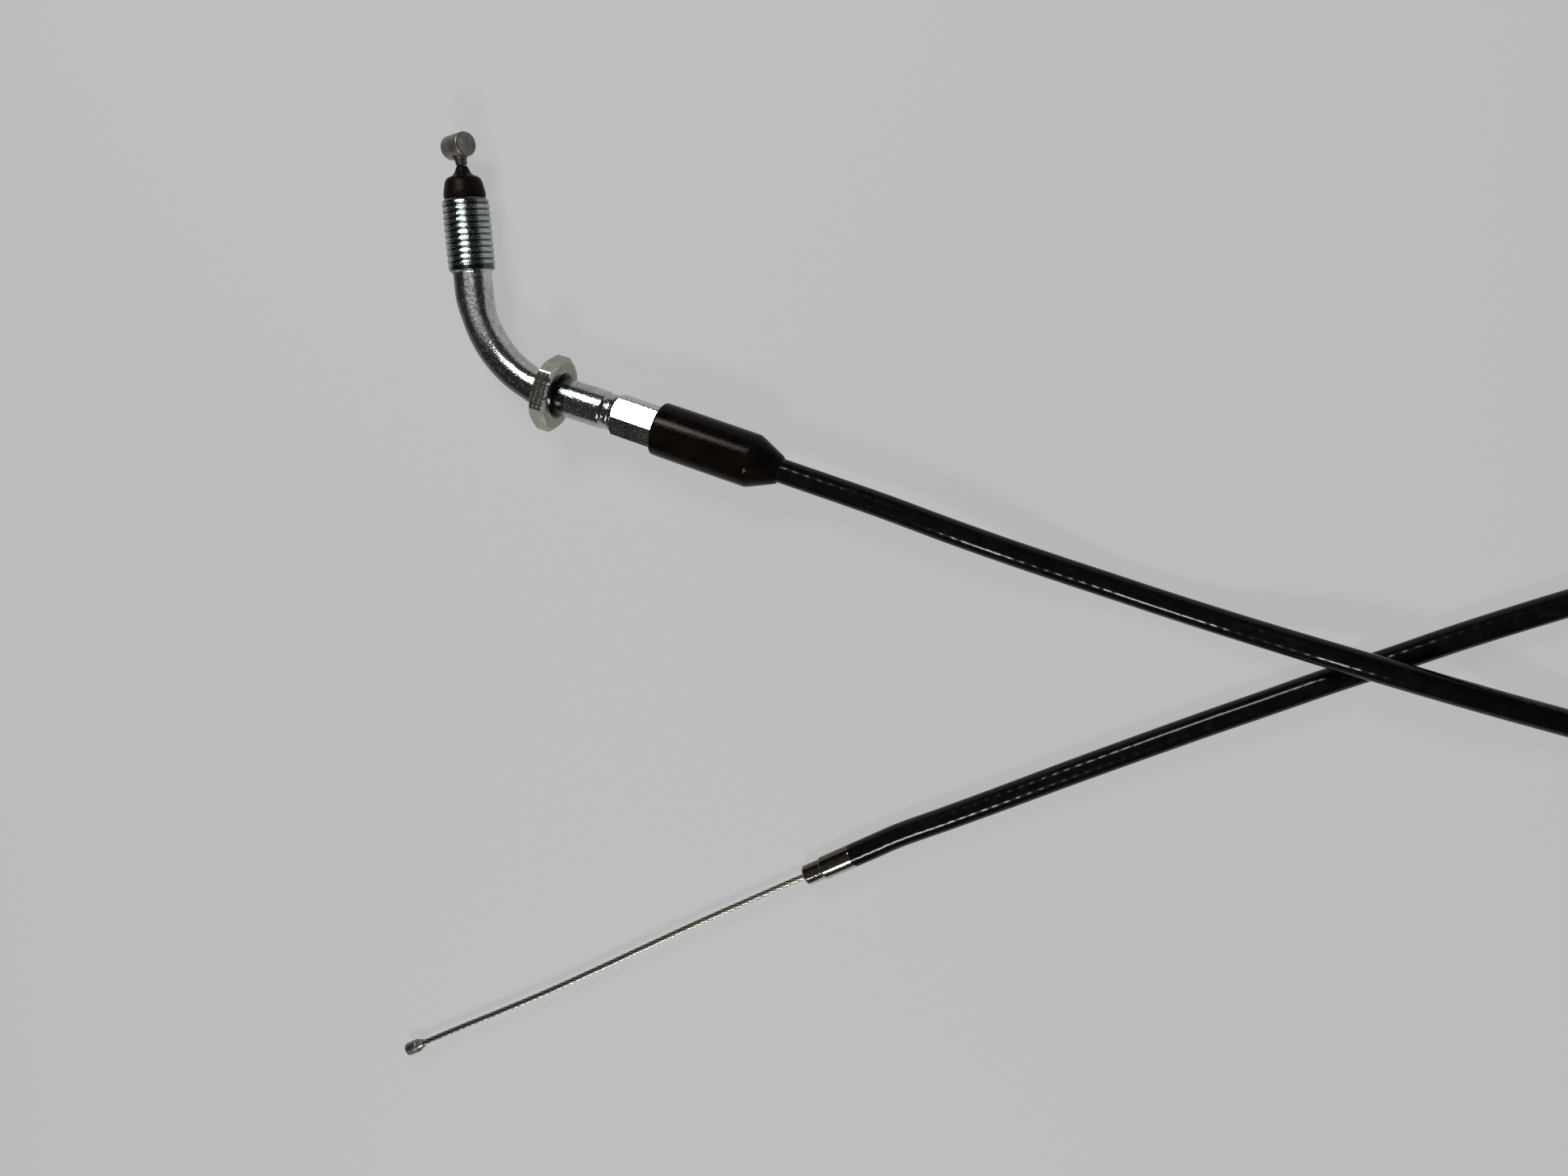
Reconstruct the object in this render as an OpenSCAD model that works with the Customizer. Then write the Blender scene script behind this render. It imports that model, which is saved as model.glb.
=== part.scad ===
// Control cable with a threaded, bent inlet tube at the grip end, an inline
// adjuster under a rubber boot, a long flexible casing and a plain end at the
// carburettor. Everything is in millimetres, +Z up.
// The origin is the middle of the inlet thread, with +Y along the thread axis
// towards its mouth. The straight arm of the tube leaves in the XY plane.

/* [Inlet thread] */
// Diameter over the thread crests
thread_d = 9.95; // [9.6:0.05:10.4]
// Pitch of the thread
thread_pitch = 1.25; // [1:0.05:1.5]
// Length of the threaded end
thread_len = 15; // [12:0.5:20]
// Length over which the thread tapers off at each end
thread_taper = 2; // [1:0.25:3]

/* [Bent tube] */
// Outside diameter of the tube
tube_d = 8; // [7.6:0.1:8.3]
// Bore of the tube
tube_bore = 5; // [4.6:0.1:5.4]
// Straight length between the thread and the bend
neck_len = 3.5; // [2:0.1:8]
// Radius of the bend at the centre of the tube
bend_r = 24.2; // [20:0.1:34]
// Angle that the bend turns through
bend_angle = 70; // [45:1:90]
// Straight length between the bend and the rolled end
arm_len = 12.4; // [11:0.1:20]
// Outside diameter of the rolled end that holds the adjuster
roll_d = 7.5; // [7:0.1:7.8]
// Length of the rolled end
roll_len = 2; // [1.5:0.1:3]

/* [Dust seal] */
// Diameter of the seal where it sits on the thread
seal_base_d = 8.7; // [8:0.1:9.4]
// Diameter of the seal at its shoulder
seal_shoulder_d = 7.6; // [6.5:0.1:8]
// Height of the seal up to its shoulder
seal_body_h = 4.2; // [3:0.1:6]
// Height of the seal above its shoulder
seal_neck_h = 2.3; // [2:0.1:4]
// Diameter of the seal's neck at its top, round the wire
seal_neck_d = 2.3; // [2.2:0.1:3.5]
// Depth of the plug that the seal pushes into the tube
seal_plug_len = 3; // [2:0.25:5]

/* [Inner wire] */
// Diameter of the stranded inner wire
wire_d = 1.3; // [1:0.05:1.5]
// Pull of the wire from rest to full throttle
wire_travel = 20; // [15:1:24]
// Length of wire between the seal and the barrel nipple at rest
wire_show = 0.2; // [0.1:0.1:3]
// Length of bare wire between the ferrule and the carburettor nipple
wire_free_len = 108.5; // [60:0.5:140]

/* [Nipples] */
// Diameter of the barrel nipple at the grip end
barrel_d = 5; // [4.5:0.1:7]
// Length of the barrel nipple
barrel_len = 6; // [4:0.25:8]
// Lean of the barrel nipple's axis above the plane of the elbow
barrel_lean = 29; // [0:1:90]
// Length of the cast neck between the wire and the barrel nipple
barrel_neck_len = 1.4; // [0.6:0.1:3]
// Diameter of that neck where it starts
barrel_neck_d = 2.3; // [2:0.1:3]
// Diameter of the carburettor nipple
stud_d = 3; // [2.6:0.1:4]
// Length of the carburettor nipple's cylinder
stud_len = 3.4; // [2.5:0.1:5]
// Length of the tapered collar behind that cylinder
stud_collar_len = 1.6; // [1:0.1:3]

/* [Lock nut] */
// Width across the flats of the inlet lock nut
nut_af = 14; // [13:0.5:17]
// Thickness of the inlet lock nut
nut_t = 4; // [3:0.25:6]
// Bore of the inlet lock nut over its thread crests
nut_bore = 8.65; // [8.55:0.05:9.2]
// Diameter of the countersink at each mouth of the nut
nut_mouth_d = 10; // [9.5:0.1:10.6]
// Turn of the nut about the tube, away from lying on a flat
nut_roll = 53; // [0:1:60]

/* [Adjuster] */
// Width across the flats of the adjuster sleeve and its lock nut
hex_af = 8; // [7.8:0.1:10]
// Length of the hexagonal sleeve
sleeve_len = 13; // [12:0.5:18]
// Thickness of the sleeve's closed end
sleeve_end_t = 1.6; // [1.2:0.1:3]
// Turn of the sleeve about its axis, away from a flat facing up
sleeve_roll = 33; // [0:1:60]
// Angle at which the adjuster lies in the tube's rolled end, away from the thread's side
adjuster_tilt = 1.2; // [0:0.1:2]
// Thickness of the adjuster's lock nut
adj_nut_t = 3.5; // [2.5:0.25:5]
// Diameter over the adjuster bolt's thread crests
bolt_d = 5.9; // [5.4:0.05:6]
// Pitch of the adjuster bolt's thread
bolt_pitch = 1; // [0.75:0.05:1.25]
// Diameter of the bolt's barrel that is crimped on the casing
crimp_d = 7.4; // [6.8:0.1:8]
// Length of that barrel
crimp_len = 13.8; // [10:0.1:16]
// Depth of the casing's seat in the barrel
seat_depth = 10; // [6:0.5:11]

/* [Rubber boot] */
// Wall of the boot round the adjuster
boot_wall = 0.8; // [0.6:0.05:1.5]
// Length of the boot's cylinder
boot_len = 21.8; // [20:0.1:26]
// Length of the boot's conical tail
boot_tail_len = 5.4; // [5:0.1:12]
// Outside diameter at the end of the tail
boot_tail_d = 5.8; // [5.7:0.1:7.5]
// Thickness of the boot's shoulder behind the bolt's barrel
boot_end_t = 0.8; // [0.6:0.1:1.5]
// Slide of the boot back along the casing
boot_travel = 22; // [10:1:24]

/* [Casing] */
// Outside diameter of the casing
casing_d = 5; // [4.5:0.1:5]
// Outside diameter of the liner that the wire runs in
liner_d = 2.4; // [2.1:0.1:2.6]
// Wall of that liner
liner_wall = 0.35; // [0.25:0.05:0.4]
// Liner left beyond the wire's inner end at full pull
wire_spare = 1.8; // [1:0.1:4]

/* [Carburettor ferrule] */
// Diameter of the ferrule's nose
ferrule_nose_d = 4.4; // [4:0.1:4.8]
// Length of the ferrule's nose
ferrule_nose_len = 4.4; // [3:0.1:6]
// Length of the ferrule's body, which is as wide as the casing
ferrule_body_len = 7.4; // [6.5:0.1:10]
// Diameter of the casing's stripped end inside the ferrule
spigot_d = 3.7; // [3.4:0.1:4]
// Length of the casing's stripped end
spigot_len = 6; // [4:0.25:6.2]

/* [Coil] */
// Radius of the stored coil at the middle of its turns
coil_r = 29.5; // [27:0.5:30]
// Step from one turn of the coil to the next, sideways and upwards
coil_step = 5.5; // [5.45:0.05:6]
// Thickness of the straps round the coil
strap_t = 0.6; // [0.4:0.1:1]
// Width of the straps
strap_w = 4; // [3:0.5:8]

/* [Hidden] */
$fn = 48;

// Clearances between pieces
run_gap = 0.05;   // radial gap of a running fit
face_gap = 0.1;   // gap between end faces that turn on each other
swivel_gap = 0.2; // gap round the sleeve's collar, which lies at an angle in the tube
boot_gap = 0.18;  // radial gap between the boot and the sleeve's corners
wire_gap = 0.15;  // radial gap round the wire

// Colours
zinc = [0.66, 0.70, 0.74];
nickel = [0.58, 0.57, 0.53];
diecast = [0.45, 0.43, 0.40];
steel = [0.70, 0.69, 0.66];
black_rubber = [0.09, 0.08, 0.07];
black_gloss = [0.04, 0.04, 0.04];
nylon = [0.88, 0.87, 0.82];

// How much thinner a tube's wall is, on each side, where it is bent
bend_thin = 0.02;
// How far its straight lengths reach into the bend
bend_lap = 0.05;

// ---- Frames ----------------------------------------------------------------
// The arm frame starts where the bend ends, with x along the straight arm
// towards the casing, y to its left and z up.
thread_end = thread_len / 2;
bend_start = -(thread_end + neck_len);
arm_x = bend_r * (1 - cos(bend_angle));
arm_y = bend_start - bend_r * sin(bend_angle);
arm_heading = bend_angle - 90;

// The adjuster's axis leaves the arm's axis at the end of the tube.
roll_end = arm_len + roll_len;

// The part lies on the lock nut's lowest corner, the straps and the ferrule.
rest_drop = nut_af / 2 / cos(30) * cos(30 - nut_roll);
lay_z = casing_d / 2 - rest_drop;

// The carburettor frame starts at the ferrule's casing end, with x along the
// wire towards the free nipple.
ferrule_at = [88.4, -75.35];
ferrule_heading = 225;

module arm_frame() {
    translate([arm_x, arm_y, 0]) rotate([0, 0, arm_heading]) children();
}

module adjuster_frame() {
    arm_frame() translate([roll_end, 0, 0]) rotate([0, 0, -adjuster_tilt]) translate([-roll_end, 0, 0])
        children();
}

module carb_frame() {
    arm_frame() translate([ferrule_at.x, ferrule_at.y, lay_z]) rotate([0, 0, ferrule_heading])
        children();
}

// Turns a half section of [radius, place along the axis] points about +Y
module lathe_y(points) {
    rotate([-90, 0, 0]) rotate_extrude() polygon(points);
}

// The same about +X
module lathe_x(points) {
    rotate([0, 90, 0]) rotate_extrude() polygon(points);
}

// A hexagonal prism about +X, with its corners turned off at both ends
module hex_x(af, from, to, roll) {
    corner_r = af / 2 / cos(30);
    cut = (corner_r - af / 2 * 0.96) * tan(30);
    intersection() {
        translate([from, 0, 0]) rotate([0, 90, 0]) rotate([0, 0, 30 + roll])
            cylinder(r = corner_r, h = to - from, $fn = 6);
        lathe_x([[0, from], [af / 2 * 0.96, from], [corner_r + 0.01, from + cut],
                 [corner_r + 0.01, to - cut], [af / 2 * 0.96, to], [0, to]]);
    }
}

// ---- Threads ---------------------------------------------------------------
// Outline of a thread's ridges as [radius, place] points. The crests are lower
// within the taper at each end.
function thread_outline(d, pitch, from, to, taper) =
    let (root_r = d / 2 - 0.6 * pitch,
         turns = floor((to - from) / pitch),
         start = (from + to - turns * pitch) / 2)
    [for (i = [0 : turns - 1])
        let (z = start + i * pitch,
             reach = min(z + pitch / 2 - from, to - z - pitch / 2),
             crest_r = min(d / 2, root_r + (d / 2 - root_r) * (reach + pitch / 4) / taper))
        each [[root_r, z + pitch / 8], [crest_r, z + pitch * 7 / 16],
              [crest_r, z + pitch * 9 / 16], [root_r, z + pitch * 7 / 8]]];

thread_root_r = thread_d / 2 - 0.6 * thread_pitch;
bolt_root_r = bolt_d / 2 - 0.6 * bolt_pitch;

// ---- Places along the arm ----------------------------------------------------
sleeve_from = roll_end + swivel_gap;
sleeve_to = sleeve_from + sleeve_len;
adj_nut_from = sleeve_to + face_gap;
adj_nut_to = adj_nut_from + adj_nut_t;
bolt_tip = sleeve_from + sleeve_end_t + 0.6;
crimp_from = adj_nut_to + 0.5;
crimp_to = crimp_from + crimp_len;
seat_at = crimp_to - seat_depth;
boot_seat = crimp_to + face_gap;
boot_cyl_to = boot_seat + boot_end_t;
boot_from = boot_cyl_to - boot_len;
boot_to = boot_cyl_to + boot_tail_len;
boot_bore_r = hex_af / 2 / cos(30) + boot_gap;
boot_r = boot_bore_r + boot_wall;
liner_r = liner_d / 2;
liner_bore_r = liner_r - liner_wall;

// ---- Places along the wire at the carburettor end ------------------------------
wire_seat = 1;  // length of the free wire's end inside the ferrule
ferrule_len = ferrule_body_len + ferrule_nose_len;
stud_from = ferrule_len + wire_free_len + stud_collar_len;
casing_end_len = wire_travel + wire_spare - (ferrule_len - wire_seat);

// ---- Casing routes -----------------------------------------------------------
// Points are [along the arm, across it, height of the casing's axis above the
// surface that the cable lies on]. The grip run leaves the boot straight, sinks
// to the surface, climbs over the other run in a long low hump and lies down
// again before the coil.
grip_route = [
    [88, -1.9, 7.2], [99, -2.4, 6.1], [110, -2.9, 4.1], [121, -3.2, 2.7], [132, -3.3, 2.5],
    [143, -3.1, 3.3], [153, -2.6, 5.4], [163, -2, 7.5], [173, -1.6, 8.1], [183, -1.4, 7.5],
    [193, -1.3, 5.9], [204, -1.1, 4], [215, -0.8, 2.8], [227, -0.5, 2.5], [240, -0.2, 2.5],
    [252, 0.1, 2.8]];
// The carburettor run goes from the coil down to the surface and under the
// other run to the ferrule.
carb_route = [
    [233.5, 48.8, 8.6], [222, 39.5, 7], [211, 30.5, 4.5], [200.5, 22, 2.8], [191, 14.5, 2.5],
    [182, 7.2, 2.5], [174, 0.4, 2.5], [165, -7.1, 2.5], [155.5, -15.3, 2.5], [145.5, -23.9, 2.5],
    [135, -33.1, 2.5], [124.5, -42.4, 2.5], [113.5, -52.3, 2.5], [105, -59.85, 2.5]];

coil_centre = [267.4, 32.5];
coil_turn = 940;                       // degrees from the coil's start to its end
coil_first = -90;                      // place of its start round the centre
coil_low = casing_d / 2 + strap_t + 0.1;
coil_outer_r = coil_r + coil_step * coil_turn / 1440;
coil_rings = ceil(coil_turn / 15);
coil_lead = casing_d;                  // straight length at each end of the coil

function smooth(t) = let (u = min(1, max(0, t))) u * u * (3 - 2 * u);
function unit(v) = v / norm(v);
function at_height(p) = [p.x, p.y, p.z - rest_drop];

// A point of the coil, spiralling in and then out again, one layer higher
function coil_point(a) =
    let (r = coil_outer_r - coil_step / 360 * min(a, coil_turn - a),
         h = coil_low + coil_step * smooth((a - coil_turn / 2 + 90) / 180))
    [coil_centre.x + r * cos(coil_first + a), coil_centre.y + r * sin(coil_first + a), h];

coil_loops = [for (i = [0 : coil_rings]) coil_point(i * coil_turn / coil_rings)];
coil_in_dir = unit(coil_point(1) - coil_point(0));
coil_out_dir = unit(coil_point(coil_turn) - coil_point(coil_turn - 1));
coil_in = coil_loops[0] - coil_lead * coil_in_dir;
coil_out = coil_loops[coil_rings] + coil_lead * coil_out_dir;

carb_dir = [cos(ferrule_heading), sin(ferrule_heading), 0];
carb_joint = [ferrule_at.x, ferrule_at.y, casing_d / 2] - casing_end_len * carb_dir;

// The casing is straight from its seat to where the boot's tail slides to.
function adjuster_point(x) =
    [roll_end + (x - roll_end) * cos(adjuster_tilt), -(x - roll_end) * sin(adjuster_tilt), rest_drop];
adjuster_dir = [cos(adjuster_tilt), -sin(adjuster_tilt), 0];

grip_path = [for (p = concat([for (x = [seat_at, (seat_at + boot_to) / 2, boot_to, boot_to + boot_travel])
                                 adjuster_point(x)],
                             grip_route, [coil_in])) at_height(p)];
coil_path = [for (p = concat([coil_in], coil_loops, [coil_out])) at_height(p)];
carb_path = [for (p = concat([coil_out], carb_route, [carb_joint])) at_height(p)];

// A closed tube of triangles along a path, with square ends
module sweep(path, r, sides, first_dir, last_dir) {
    last = len(path) - 1;
    dirs = [for (i = [0 : last])
        i == 0 ? first_dir : i == last ? last_dir : unit(path[i + 1] - path[i - 1])];
    points = [for (i = [0 : last])
        let (side = unit(cross(dirs[i], [0, 0, 1])), up = cross(side, dirs[i]))
        for (k = [0 : sides - 1])
            let (a = 360 * (k + 0.5) / sides)
            path[i] + r * cos(a) * side + r * sin(a) * up];
    wall = [for (i = [0 : last - 1]) for (k = [0 : sides - 1])
        let (a = i * sides + k, b = i * sides + (k + 1) % sides)
        each [[a, b, b + sides], [a, b + sides, a + sides]]];
    caps = [for (k = [1 : sides - 2])
        each [[0, k + 1, k], [last * sides, last * sides + k, last * sides + k + 1]]];
    polyhedron(points, concat(wall, caps));
}

// Least gap between points of the coil that are more than half a turn apart
coil_gap = min([for (i = [0 : coil_rings]) for (j = [0 : coil_rings])
    if (j - i > coil_rings * 180 / coil_turn) norm(coil_loops[i] - coil_loops[j])]) - casing_d;
function path_length(p) = len(p) < 2 ? 0 :
    [for (i = [1 : len(p) - 1]) norm(p[i] - p[i - 1])] * [for (i = [1 : len(p) - 1]) 1];
echo(coil_gap = coil_gap, casing_length = path_length(grip_path) + path_length(coil_path)
     + path_length(carb_path) + casing_end_len);
echo(arm = [arm_x, arm_y], arm_heading = arm_heading, rest_drop = rest_drop);

// ---- Grip end ----------------------------------------------------------------
seal_top = thread_end + seal_body_h + seal_neck_h;
barrel_at = seal_top + wire_show + barrel_neck_len + barrel_d / 2;
// The stub's end stays in the seal at full pull, and clears the bend at rest.
wire_keep = 1.5;
wire_stub_end = max(thread_end + wire_keep - wire_travel, bend_start - 4.5);

module barrel_nipple() {
    neck_from = -barrel_d / 2 - barrel_neck_len;
    neck_r = barrel_neck_d / 2;
    color(diecast)
    translate([0, barrel_at, 0])
    difference() {
        union() {
            rotate([0, -barrel_lean, 0])
                lathe_x([[0, -barrel_len / 2], [barrel_d / 2 - 0.3, -barrel_len / 2],
                         [barrel_d / 2, -barrel_len / 2 + 0.3], [barrel_d / 2, barrel_len / 2 - 0.3],
                         [barrel_d / 2 - 0.3, barrel_len / 2], [0, barrel_len / 2]]);
            lathe_y([[0, neck_from], [neck_r, neck_from], [neck_r + 0.15, -barrel_d / 2 - 0.4],
                     [barrel_d * 0.4, -barrel_d * 0.4], [0, -barrel_d * 0.4]]);
        }
        lathe_y([[0, neck_from - 1], [wire_d / 2, neck_from - 1], [wire_d / 2, barrel_d], [0, barrel_d]]);
    }
}

module grip_wire() {
    color(steel)
    lathe_y([[0, wire_stub_end], [wire_d / 2, wire_stub_end],
             [wire_d / 2, barrel_at + barrel_d / 2 - 0.2], [0, barrel_at + barrel_d / 2 - 0.2]]);
}

module dust_seal() {
    hole_r = wire_d / 2 + wire_gap;
    shoulder = thread_end + seal_body_h;
    color(black_rubber)
    lathe_y([[hole_r, thread_end - seal_plug_len], [tube_bore / 2 - run_gap, thread_end - seal_plug_len],
             [tube_bore / 2 - run_gap, thread_end], [seal_base_d / 2, thread_end],
             [seal_shoulder_d / 2, shoulder - 0.6], [seal_shoulder_d / 2 - 0.4, shoulder],
             [seal_neck_d / 2 + 1.1, shoulder + 0.4], [seal_neck_d / 2 + 0.5, shoulder + 1],
             [seal_neck_d / 2 + 0.25, seal_top - 0.6], [seal_neck_d / 2, seal_top], [hole_r, seal_top]]);
}

// The bent length of a tube with the given outer and inner radius
module bend(outer_r, inner_r) {
    translate([bend_r, bend_start, 0]) rotate([0, 0, 180])
        rotate_extrude(angle = bend_angle) translate([bend_r, 0])
        difference() {
            circle(r = outer_r - bend_thin);
            circle(r = inner_r + bend_thin);
        }
}

module elbow_tube() {
    lip_r = roll_d / 2;
    bore_r = tube_bore / 2;
    color(zinc) {
        lathe_y(concat([[bore_r, bend_start - bend_lap], [tube_d / 2, bend_start - bend_lap],
                        [tube_d / 2, -thread_end - 0.01], [thread_root_r, -thread_end]],
                       thread_outline(thread_d, thread_pitch, -thread_end, thread_end, thread_taper),
                       [[thread_root_r, thread_end], [bore_r, thread_end]]));
        bend(tube_d / 2, bore_r);
        arm_frame()
            lathe_x([[bore_r, -bend_lap], [tube_d / 2, -bend_lap], [tube_d / 2, arm_len - 0.1],
                     [lip_r - 0.3, arm_len + 0.4], [lip_r - 0.3, arm_len + 0.6],
                     [lip_r, arm_len + 0.9], [lip_r, roll_end - 0.2], [lip_r - 0.2, roll_end],
                     [bore_r - 0.4, roll_end], [bore_r - 0.4, arm_len], [bore_r, arm_len]]);
    }
}

module elbow_liner() {
    outer_r = tube_bore / 2 - run_gap;
    inner_r = outer_r - 1.15;
    liner_top = thread_end - seal_plug_len - 0.2;
    color(nylon) {
        lathe_y([[inner_r, bend_start - bend_lap], [outer_r, bend_start - bend_lap], [outer_r, liner_top],
                 [inner_r, liner_top]]);
        bend(outer_r, inner_r);
        arm_frame()
            lathe_x([[inner_r, -bend_lap], [outer_r, -bend_lap], [outer_r, arm_len - 3],
                     [inner_r, arm_len - 3]]);
    }
}

module lock_nut() {
    color(nickel)
    arm_frame()
    difference() {
        hex_x(nut_af, -nut_t / 2, nut_t / 2, nut_roll);
        lathe_x([[0, -nut_t], [nut_mouth_d / 2, -nut_t], [nut_mouth_d / 2, -nut_t / 2],
                 [nut_bore / 2, -nut_t / 2 + (nut_mouth_d - nut_bore) / 2],
                 [nut_bore / 2, nut_t / 2 - (nut_mouth_d - nut_bore) / 2],
                 [nut_mouth_d / 2, nut_t / 2], [nut_mouth_d / 2, nut_t], [0, nut_t]]);
    }
}

// ---- Adjuster and boot ---------------------------------------------------------
module adjuster_sleeve() {
    flange_r = tube_bore / 2 - swivel_gap;
    neck_r = tube_bore / 2 - 0.4 - swivel_gap;
    color(zinc)
    adjuster_frame()
    difference() {
        union() {
            hex_x(hex_af, sleeve_from, sleeve_to, sleeve_roll);
            lathe_x([[0, arm_len - 2.6], [flange_r, arm_len - 2.6], [flange_r, arm_len - swivel_gap],
                     [neck_r, arm_len - swivel_gap], [neck_r, sleeve_from + 0.5],
                     [0, sleeve_from + 0.5]]);
        }
        lathe_x([[0, arm_len - 3], [liner_r, arm_len - 3], [liner_r, sleeve_from + sleeve_end_t],
                 [bolt_d / 2 + run_gap, sleeve_from + sleeve_end_t],
                 [bolt_d / 2 + run_gap, sleeve_to + 1], [0, sleeve_to + 1]]);
    }
}

module adjuster_lock_nut() {
    color(zinc)
    adjuster_frame()
    difference() {
        hex_x(hex_af, adj_nut_from, adj_nut_to, sleeve_roll);
        lathe_x([[0, adj_nut_from - 1], [bolt_d / 2 + run_gap, adj_nut_from - 1],
                 [bolt_d / 2 + run_gap, adj_nut_to + 1], [0, adj_nut_to + 1]]);
    }
}

module adjuster_bolt() {
    bore_r = liner_r + run_gap;
    seat_r = casing_d / 2 + run_gap;
    color(zinc)
    adjuster_frame()
    lathe_x(concat([[bore_r, bolt_tip], [bolt_root_r, bolt_tip]],
                   thread_outline(bolt_d, bolt_pitch, bolt_tip, crimp_from, bolt_pitch),
                   [[bolt_root_r, crimp_from], [crimp_d / 2 - 0.3, crimp_from],
                    [crimp_d / 2, crimp_from + 0.3], [crimp_d / 2, crimp_to - 0.5],
                    [crimp_d / 2 - 0.5, crimp_to], [seat_r, crimp_to],
                    [seat_r, seat_at], [bore_r, seat_at]]));
}

module bolt_liner() {
    color(nylon)
    adjuster_frame()
    lathe_x([[liner_bore_r, bolt_tip + 0.5], [liner_r, bolt_tip + 0.5], [liner_r, seat_at],
             [liner_bore_r, seat_at]]);
}

module rubber_boot() {
    tail_bore_r = casing_d / 2 + run_gap;
    color(black_rubber)
    adjuster_frame()
    lathe_x([[boot_bore_r, boot_from], [boot_r - 0.5, boot_from], [boot_r, boot_from + 0.5],
             [boot_r, boot_cyl_to - 0.6], [boot_r - 0.25, boot_cyl_to],
             [boot_tail_d / 2, boot_to - 0.3], [boot_tail_d / 2 - 0.2, boot_to],
             [tail_bore_r, boot_to], [tail_bore_r, boot_seat],
             [boot_bore_r - 1, boot_seat], [boot_bore_r, boot_seat - 1]]);
}

// ---- Casing --------------------------------------------------------------------
module casing_run_grip() {
    color(black_gloss)
    arm_frame() sweep(grip_path, casing_d / 2, 12, adjuster_dir, coil_in_dir);
}

module casing_coil() {
    color(black_gloss)
    arm_frame() sweep(coil_path, casing_d / 2, 6, coil_in_dir, coil_out_dir);
}

module casing_run_carb() {
    color(black_gloss)
    arm_frame() sweep(carb_path, casing_d / 2, 12, coil_out_dir, carb_dir);
}

// Two straps, on opposite sides of the coil
module coil_straps() {
    color([0.12, 0.12, 0.12])
    arm_frame()
    for (side = [0, 180])
        translate([coil_centre.x, coil_centre.y, -rest_drop]) rotate([0, 0, side])
            strap(coil_outer_r - coil_step * coil_turn / 720 - casing_d / 2 - 0.2,
                  coil_outer_r + casing_d / 2 - (side == 0 ? 0.8 : 3.6));
}

// A strap round the coil's bundle between two distances from its centre
module strap(from, to) {
    inner_h = casing_d + coil_step + 0.2;
    translate([0, strap_w / 2, 0]) rotate([90, 0, 0]) linear_extrude(strap_w)
        difference() {
            translate([from - strap_t, 0]) square([to - from + 2 * strap_t, inner_h + 2 * strap_t]);
            translate([from, strap_t]) square([to - from, inner_h]);
        }
}

module casing_end_carb() {
    bore_r = liner_r + run_gap;
    color(black_gloss)
    carb_frame()
    lathe_x([[bore_r, -casing_end_len], [casing_d / 2, -casing_end_len], [casing_d / 2, 0],
             [spigot_d / 2, 0], [spigot_d / 2, spigot_len], [bore_r, spigot_len]]);
}

// ---- Carburettor end -------------------------------------------------------------
module carb_liner() {
    color(nylon)
    carb_frame()
    lathe_x([[liner_bore_r, -casing_end_len], [liner_r, -casing_end_len], [liner_r, spigot_len],
             [liner_bore_r, spigot_len]]);
}

module carb_ferrule() {
    socket_r = spigot_d / 2 + run_gap;
    bore_r = wire_d / 2 + wire_gap;
    color(steel)
    carb_frame()
    lathe_x([[socket_r, 0], [casing_d / 2 - 0.2, 0], [casing_d / 2, 0.2],
             [casing_d / 2, ferrule_body_len - 0.3], [ferrule_nose_d / 2, ferrule_body_len],
             [ferrule_nose_d / 2, ferrule_len - 0.4], [ferrule_nose_d / 2 - 0.4, ferrule_len],
             [bore_r, ferrule_len], [bore_r, spigot_len + 0.1], [socket_r, spigot_len + 0.1]]);
}

module carb_wire() {
    color(steel)
    carb_frame()
    lathe_x([[0, ferrule_len - wire_seat], [wire_d / 2, ferrule_len - wire_seat],
             [wire_d / 2, stud_from + stud_len - 0.2], [0, stud_from + stud_len - 0.2]]);
}

module carb_nipple() {
    collar_r = stud_d / 2 - 0.3;
    color(diecast)
    carb_frame()
    lathe_x([[wire_d / 2, stud_from - stud_collar_len], [wire_d / 2 + 0.25, stud_from - stud_collar_len],
             [collar_r, stud_from - 0.3], [collar_r, stud_from], [stud_d / 2 - 0.2, stud_from],
             [stud_d / 2, stud_from + 0.2], [stud_d / 2, stud_from + stud_len - 0.2],
             [stud_d / 2 - 0.2, stud_from + stud_len], [wire_d / 2, stud_from + stud_len]]);
}

barrel_nipple();
grip_wire();
dust_seal();
elbow_tube();
elbow_liner();
lock_nut();
adjuster_sleeve();
adjuster_lock_nut();
adjuster_bolt();
bolt_liner();
rubber_boot();
casing_run_grip();
casing_coil();
coil_straps();
casing_run_carb();
casing_end_carb();
carb_liner();
carb_ferrule();
carb_wire();
carb_nipple();
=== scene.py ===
import math

import bpy
from mathutils import Matrix, Vector


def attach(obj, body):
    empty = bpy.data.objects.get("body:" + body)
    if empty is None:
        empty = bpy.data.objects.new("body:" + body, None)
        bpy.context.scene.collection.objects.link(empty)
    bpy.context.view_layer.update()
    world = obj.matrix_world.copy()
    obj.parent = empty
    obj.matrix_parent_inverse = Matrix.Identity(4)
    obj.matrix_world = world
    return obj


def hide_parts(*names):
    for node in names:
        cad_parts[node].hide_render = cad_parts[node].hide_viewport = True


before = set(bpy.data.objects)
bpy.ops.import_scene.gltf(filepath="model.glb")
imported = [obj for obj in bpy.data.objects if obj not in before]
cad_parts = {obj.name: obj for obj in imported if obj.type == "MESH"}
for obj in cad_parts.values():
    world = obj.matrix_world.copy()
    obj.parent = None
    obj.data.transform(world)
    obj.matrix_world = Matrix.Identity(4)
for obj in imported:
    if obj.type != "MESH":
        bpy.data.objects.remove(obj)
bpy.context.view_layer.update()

MM = 0.001
TURN = 2 * math.pi

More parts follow.
